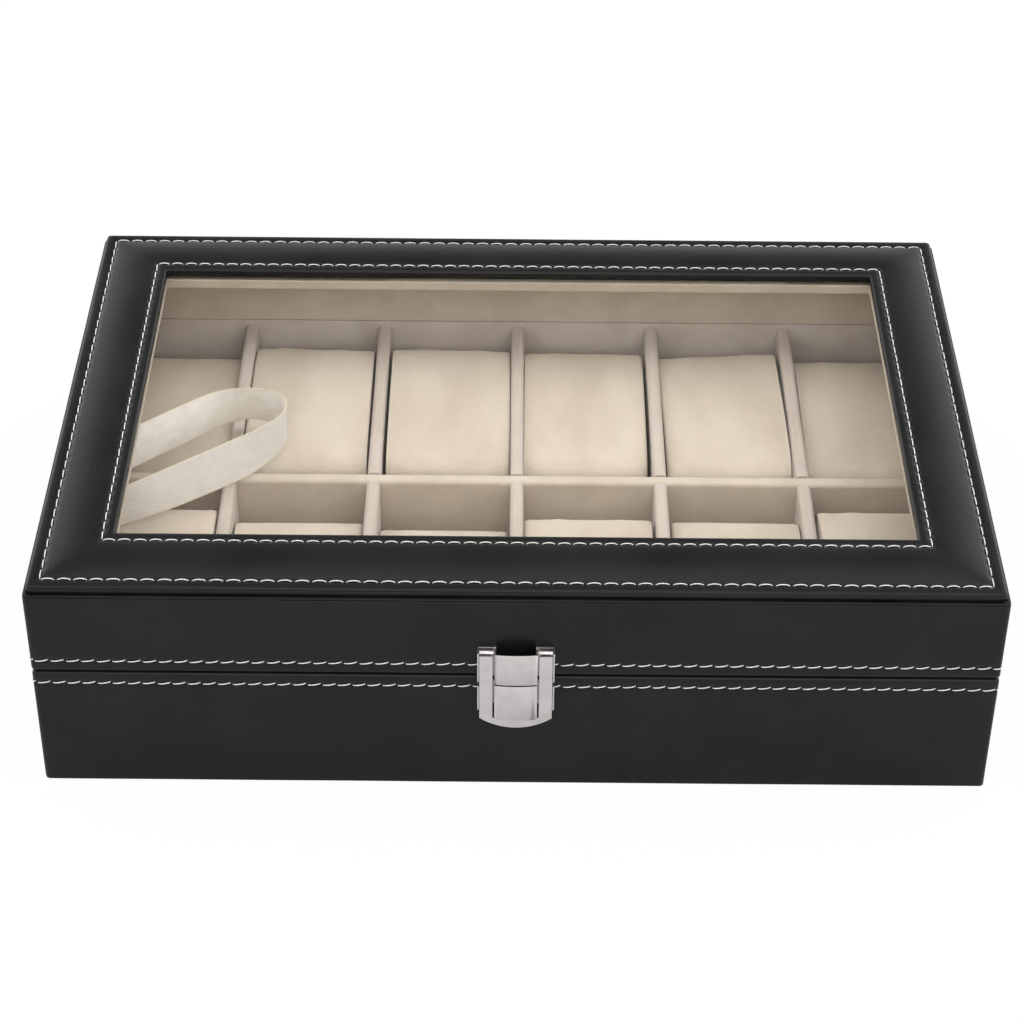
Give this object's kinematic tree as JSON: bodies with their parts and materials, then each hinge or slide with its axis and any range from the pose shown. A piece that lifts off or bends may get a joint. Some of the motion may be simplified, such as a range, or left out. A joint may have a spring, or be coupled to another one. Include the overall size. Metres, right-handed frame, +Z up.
{
  "type": "watch box",
  "caption": "Rectangular leather-covered display box with a glazed padded lid, front flap clasp, rear hinges and velvet compartments holding loose cushions for watches.",
  "frame": {"origin": "middle of the underside, on the surface the box stands on", "axes": "+X to the right along the width, +Y to the hinged back, +Z up; the clasp is at the front, towards -Y"},
  "size_m": [0.3012, 0.2128, 0.081],
  "materials": {
    "black_leather": "fine-grained, soft sheen",
    "case_board": "raw fibre board",
    "underside_felt": "flocked",
    "padding_foam": "open-cell foam",
    "lining_velvet": "short-pile velvet",
    "cushion_velvet": "short-pile velvet",
    "clear_glass": "clear float glass",
    "satin_ribbon": "satin weave",
    "clasp_nickel": "satin nickel plate",
    "hinge_steel": "brushed"
  },
  "bodies": {
    "base": {"base_back_board": "case_board", "base_back_lining": "lining_velvet", "base_bottom_board": "case_board", "base_floor_lining": "lining_velvet", "base_front_board": "case_board", "base_front_lining": "lining_velvet", "base_leather_wrap": "black_leather", "base_left_board": "case_board", "base_left_lining": "lining_velvet", "base_right_board": "case_board", "base_right_lining": "lining_velvet", "base_underside_felt": "underside_felt", "clasp_base_plate": "clasp_nickel", "clasp_base_rivets": "clasp_nickel", "cross_divider_1": "lining_velvet", "cross_divider_2": "lining_velvet", "cross_divider_3": "lining_velvet", "cross_divider_4": "lining_velvet", "cross_divider_5": "lining_velvet", "hinge_base_screws": "hinge_steel", "hinge_left_base_leaf": "hinge_steel", "hinge_pins": "hinge_steel", "hinge_right_base_leaf": "hinge_steel", "long_divider": "lining_velvet", "ribbon_stay": "satin_ribbon"},
    "lid": {"clasp_lid_plate": "clasp_nickel", "clasp_lid_rivets": "clasp_nickel", "clasp_pins": "clasp_nickel", "glass_pane": "clear_glass", "hinge_left_lid_leaf": "hinge_steel", "hinge_lid_screws": "hinge_steel", "hinge_right_lid_leaf": "hinge_steel", "lid_back_board": "case_board", "lid_back_lining": "lining_velvet", "lid_front_board": "case_board", "lid_front_lining": "lining_velvet", "lid_leather_wrap": "black_leather", "lid_left_board": "case_board", "lid_left_lining": "lining_velvet", "lid_lining_frame": "lining_velvet", "lid_right_board": "case_board", "lid_right_lining": "lining_velvet", "lid_top_board": "case_board", "lid_top_leather": "black_leather", "lid_top_pad": "padding_foam"},
    "flap": {"clasp_flap": "clasp_nickel"},
    "cushion_back_1_loose": {"cushion_back_1": "cushion_velvet"},
    "cushion_back_2_loose": {"cushion_back_2": "cushion_velvet"},
    "cushion_back_3_loose": {"cushion_back_3": "cushion_velvet"},
    "cushion_back_4_loose": {"cushion_back_4": "cushion_velvet"},
    "cushion_back_5_loose": {"cushion_back_5": "cushion_velvet"},
    "cushion_back_6_loose": {"cushion_back_6": "cushion_velvet"},
    "cushion_front_1_loose": {"cushion_front_1": "cushion_velvet"},
    "cushion_front_2_loose": {"cushion_front_2": "cushion_velvet"},
    "cushion_front_3_loose": {"cushion_front_3": "cushion_velvet"},
    "cushion_front_4_loose": {"cushion_front_4": "cushion_velvet"},
    "cushion_front_5_loose": {"cushion_front_5": "cushion_velvet"},
    "cushion_front_6_loose": {"cushion_front_6": "cushion_velvet"}
  },
  "joints": [
    {"name": "lid_hinge", "type": "hinge", "parent": "base", "child": "lid", "pos_m": [0, 0.1043, 0.0456], "axis": [-1, 0, 0], "range_deg": [0, 95], "deforming": ["ribbon_stay"]},
    {"name": "clasp_hinge", "type": "hinge", "parent": "lid", "child": "flap", "pos_m": [0, -0.1042, 0.057], "axis": [-1, 0, 0], "range_deg": [0, 110]},
    {"name": "cushion_back_1_lift", "type": "slide", "parent": "base", "child": "cushion_back_1_loose", "axis": [0, 0, 1], "range_m": [0, 0.025]},
    {"name": "cushion_back_2_lift", "type": "slide", "parent": "base", "child": "cushion_back_2_loose", "axis": [0, 0, 1], "range_m": [0, 0.025]},
    {"name": "cushion_back_3_lift", "type": "slide", "parent": "base", "child": "cushion_back_3_loose", "axis": [0, 0, 1], "range_m": [0, 0.025]},
    {"name": "cushion_back_4_lift", "type": "slide", "parent": "base", "child": "cushion_back_4_loose", "axis": [0, 0, 1], "range_m": [0, 0.025]},
    {"name": "cushion_back_5_lift", "type": "slide", "parent": "base", "child": "cushion_back_5_loose", "axis": [0, 0, 1], "range_m": [0, 0.025]},
    {"name": "cushion_back_6_lift", "type": "slide", "parent": "base", "child": "cushion_back_6_loose", "axis": [0, 0, 1], "range_m": [0, 0.025]},
    {"name": "cushion_front_1_lift", "type": "slide", "parent": "base", "child": "cushion_front_1_loose", "axis": [0, 0, 1], "range_m": [0, 0.025]},
    {"name": "cushion_front_2_lift", "type": "slide", "parent": "base", "child": "cushion_front_2_loose", "axis": [0, 0, 1], "range_m": [0, 0.025]},
    {"name": "cushion_front_3_lift", "type": "slide", "parent": "base", "child": "cushion_front_3_loose", "axis": [0, 0, 1], "range_m": [0, 0.025]},
    {"name": "cushion_front_4_lift", "type": "slide", "parent": "base", "child": "cushion_front_4_loose", "axis": [0, 0, 1], "range_m": [0, 0.025]},
    {"name": "cushion_front_5_lift", "type": "slide", "parent": "base", "child": "cushion_front_5_loose", "axis": [0, 0, 1], "range_m": [0, 0.025]},
    {"name": "cushion_front_6_lift", "type": "slide", "parent": "base", "child": "cushion_front_6_loose", "axis": [0, 0, 1], "range_m": [0, 0.025]}
  ]
}
